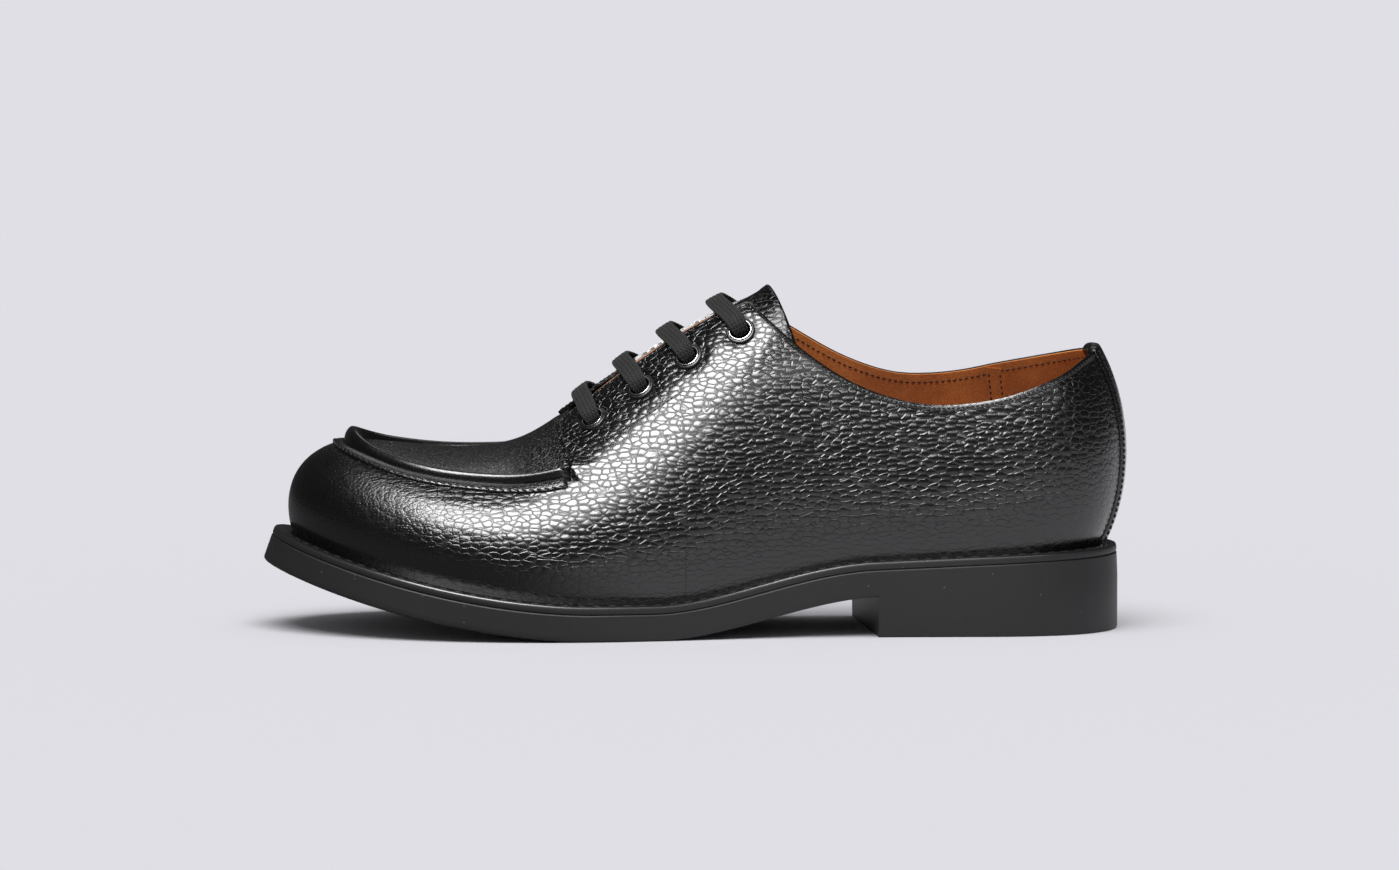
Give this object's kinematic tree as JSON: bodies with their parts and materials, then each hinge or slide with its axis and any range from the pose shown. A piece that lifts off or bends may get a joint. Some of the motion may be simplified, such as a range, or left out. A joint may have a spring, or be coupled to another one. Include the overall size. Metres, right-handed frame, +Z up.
{
  "type": "derby shoe",
  "caption": "Low lace-up derby shoe with a piped apron toe, open facings, stitched welt and moulded rubber sole.",
  "frame": {"origin": "on the floor under the middle of the shoe's bounding box", "axes": "+X to the toe, +Y to the outer side of the left foot, +Z up"},
  "size_m": [0.3028, 0.106, 0.12],
  "materials": {
    "upper_leather": "grained, glossy",
    "lining": "smooth, matt",
    "welt": "burnished edge",
    "rubber": "moulded, matt",
    "eyelet": "black enamel",
    "lace": "flat braid"
  },
  "bodies": {
    "root": {"sole": "rubber", "welt": "welt", "insole": "lining", "upper": "upper_leather", "back_strip": "upper_leather", "tongue": "upper_leather", "eyelet_outer_1": "eyelet", "eyelet_outer_2": "eyelet", "eyelet_outer_3": "eyelet", "eyelet_outer_4": "eyelet", "eyelet_inner_1": "eyelet", "eyelet_inner_2": "eyelet", "eyelet_inner_3": "eyelet", "eyelet_inner_4": "eyelet", "lace_bar_1": "lace", "lace_bar_2": "lace", "lace_bar_3": "lace", "lace_bar_4": "lace"}
  },
  "joints": []
}
